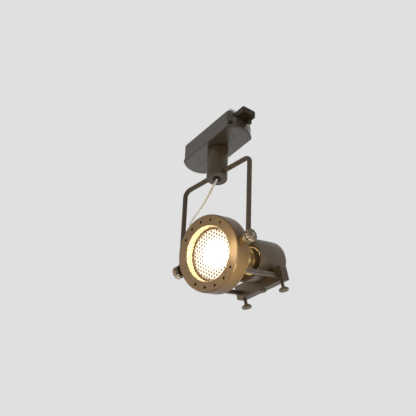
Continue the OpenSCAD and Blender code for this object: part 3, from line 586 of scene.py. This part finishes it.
def lens_mesh():
    """A disc of small domes in a hexagonal lattice, on a fine triangular grid."""
    pitch = LATTICE_PITCH
    steps_per_cell = 10
    step = pitch / steps_per_cell
    reach = int(LENS_R / step * 1.2) + 2
    index = {}
    verts, dots, cores = [], [], []
    for i in range(-reach, reach + 1):
        for j in range(-reach, reach + 1):
            x = (i + 0.5 * j) * step
            y = j * step * ROW
            r = math.hypot(x, y)
            if r > LENS_R:
                continue
            near = min(math.hypot(x - (a + 0.5 * b) * pitch, y - b * pitch * ROW)
                       for b in (round(y / pitch / ROW) + k for k in (-1, 0, 1))
                       for a in (round(x / pitch - 0.5 * b) + k for k in (-1, 0, 1)))
            dome = DOME_HEIGHT * (1 - (near / (0.5 * pitch)) ** 2)
            crown = LENS_CROWN * (1 - (r / LENS_R) ** 2)
            z = LENS_Z + crown + max(dome, DOME_VALLEY)
            xr = x * math.cos(LATTICE_TURN) - y * math.sin(LATTICE_TURN)
            yr = x * math.sin(LATTICE_TURN) + y * math.cos(LATTICE_TURN)
            index[(i, j)] = len(verts)
            verts.append((xr * MM, yr * MM, z * MM))
            dots.append(max(0.0, min(1.0, (DOT_R - near) / DOT_EDGE)))
            cores.append(max(0.0, 1 - math.hypot(xr - CORE_X, yr - CORE_Y) / CORE_R))
    faces = []
    for (i, j), v in index.items():
        if (i + 1, j) in index and (i, j + 1) in index:
            faces.append((v, index[(i + 1, j)], index[(i, j + 1)]))
        if (i + 1, j) in index and (i + 1, j - 1) in index:
            faces.append((v, index[(i + 1, j - 1)], index[(i + 1, j)]))
    obj = new_object("lens_face", verts, faces, HEAD, smooth_angle=80)
    for label, values in (("dot", dots), ("core", cores)):
        attribute = obj.data.attributes.new(label, "FLOAT", "POINT")
        attribute.data.foreach_set("value", values)
    return obj


lens = lens_mesh()
lens.data.materials.append(lens_material())
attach(lens, "head")
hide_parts("lamp_lens")


def glass_material(name, glow, strength, depth=1.0):
    """Hazy lit glass; depth scales its body colour against its glow."""
    mat, nodes_, links, bsdf = new_material(name)
    coords = nodes_.new("ShaderNodeTexCoord").outputs["Object"]
    haze = noise(nodes_, links, coords, 160, 3.0)
    tone = ramp(nodes_, links, haze, [(0.3, scaled(glow, 0.8)), (0.7, glow)])
    links.new(ramp(nodes_, links, haze, [(0.3, scaled(glow, 0.8 * depth)),
                                         (0.7, scaled(glow, depth))]),
              bsdf.inputs["Base Color"])
    links.new(tone, bsdf.inputs["Emission Color"])
    bsdf.inputs["Emission Strength"].default_value = strength
    bsdf.inputs["Roughness"].default_value = 0.15
    bsdf.inputs["Coat Weight"].default_value = 0.6
    return mat


REFLECTOR_FACETS = 40
CAPSULE_TONE = (1.0, 0.85, 0.6)
WARM = (1.0, 0.74, 0.36)


def reflector_mesh():
    """A faceted reflector: neck, flared body and rim, closed inside and out."""
    steps = 11
    neck_z, rim_z = -37.0, -1.55
    neck_r, flare, depth, wall = 9.7, 13.6, 35.4, 1.4
    rim_r, seat_r, rim_top, seat_z = 25, 23.8, 1, -0.7
    heights = [neck_z + (rim_z - neck_z) * (i / steps) ** 2 for i in range(steps + 1)]
    radii = [neck_r + flare * math.sqrt((z - neck_z) / depth) for z in heights]
    profile = list(zip(radii, heights))
    profile += [(rim_r, rim_z), (rim_r, rim_top), (seat_r, rim_top), (seat_r, seat_z)]
    profile += [(r - wall, z) for r, z in zip(reversed(radii), reversed(heights))]
    return lathe("reflector_faceted", profile, REFLECTOR_FACETS, HEAD, smooth_angle=4)


finish_piece(reflector_mesh(), glass_material("reflector_glass", WARM, 0.05, 0.22),
             "head", "lamp_reflector")
nodes["lamp_capsule"].data.materials.clear()
nodes["lamp_capsule"].data.materials.append(glass_material("capsule", CAPSULE_TONE, 6.0))


# ---- studio ----
FLOOR_HALF = 40.0
FLOOR_Z = -1.15
FLOOR_TONES = [(0.3, (0.755, 0.75, 0.742)), (0.7, (0.775, 0.77, 0.763))]
BACKDROP = (0.745, 0.745, 0.745, 1)
CENTRE = (0, 0.02, -0.1)
GAP_GLOWS = 6
GAP_GLOW_R, GAP_GLOW_Z = 13, -44


def add_floor():
    """A pale plain floor, well below the lamp and reaching out of sight."""
    corners = [(-FLOOR_HALF, -FLOOR_HALF), (FLOOR_HALF, -FLOOR_HALF), (FLOOR_HALF, FLOOR_HALF),
               (-FLOOR_HALF, FLOOR_HALF)]
    floor = new_object("floor", [(x, y, FLOOR_Z) for x, y in corners], [(0, 1, 2, 3)])
    mat, nodes_, links, bsdf = new_material("floor")
    coords = nodes_.new("ShaderNodeTexCoord").outputs["Object"]
    cloud = noise(nodes_, links, coords, 2.5, 3.0)
    links.new(ramp(nodes_, links, cloud, FLOOR_TONES), bsdf.inputs["Base Color"])
    bsdf.inputs["Roughness"].default_value = 0.8
    floor.data.materials.append(mat)


def add_area(name, place, size, power, colour):
    """A round soft light at place, in metres, aimed at the lamp's middle."""
    light = bpy.data.lights.new(name, "AREA")
    light.shape = "DISK"
    light.size = size
    light.energy = power
    light.color = colour
    obj = bpy.data.objects.new(name, light)
    direction = Vector(CENTRE) - Vector(place)
    obj.matrix_world = (Matrix.Translation(place)
                        @ direction.to_track_quat("-Z", "Y").to_matrix().to_4x4())
    bpy.context.scene.collection.objects.link(obj)


def add_world():
    """An even grey surround, which also lights the shadows."""
    world = bpy.data.worlds.new("studio")
    world.use_nodes = True
    background = world.node_tree.nodes["Background"]
    background.inputs["Color"].default_value = BACKDROP
    background.inputs["Strength"].default_value = 1.0
    bpy.context.scene.world = world


def add_glow(name, place, size, power, colour, facing=None):
    """A small light that rides with the head and isn't seen itself; place and size are in mm."""
    light = bpy.data.lights.new(name, "AREA" if facing else "POINT")
    light.energy = power
    light.color = colour
    if facing:
        light.shape = "DISK"
        light.size = size * MM
        turn = Vector(facing).to_track_quat("-Z", "Y").to_matrix().to_4x4()
    else:
        light.shadow_soft_size = size * MM
        turn = Matrix.Identity(4)
    obj = bpy.data.objects.new(name, light)
    obj.matrix_world = HEAD @ Matrix.Translation(Vector(place) * MM) @ turn
    bpy.context.scene.collection.objects.link(obj)
    obj.visible_camera = False
    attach(obj, "head")


add_floor()
add_world()
add_area("window", (-0.9, -1.2, -0.2), 0.8, 4.8, (1.0, 0.9, 0.74))
add_area("fill", (1.4, 0.3, -0.7), 1.0, 6.5, (1.0, 0.9, 0.76))
add_area("below", (-0.55, 0.5, -0.9), 0.9, 3.5, (0.95, 0.98, 1.0))

# the lamp's own light on the recess, the ring's two sides, its face and the gap behind it
add_glow("recess_glow", (0, 0, 5), 4, 0.85, (0.7, 0.8, 1.0))
add_glow("left_glow", (-78, -34, 20), 16, 0.03, (1.0, 0.95, 0.88), facing=(28, 34, -30))
add_glow("side_glow", (50, -50, 14), 18, 0.045, (1.0, 0.94, 0.82), facing=(-18, 20, -8))
add_glow("face_glow", (28, -6, 26), 16, 0.09, (1.0, 0.9, 0.68))
for step in range(GAP_GLOWS):
    turn = TAU * (step + 0.5) / GAP_GLOWS
    gap_place = (GAP_GLOW_R * math.cos(turn), GAP_GLOW_R * math.sin(turn), GAP_GLOW_Z)
    add_glow("gap_glow_" + str(step), gap_place, 2, 0.0022, WARM)
bpy.context.scene.view_settings.view_transform = "Standard"
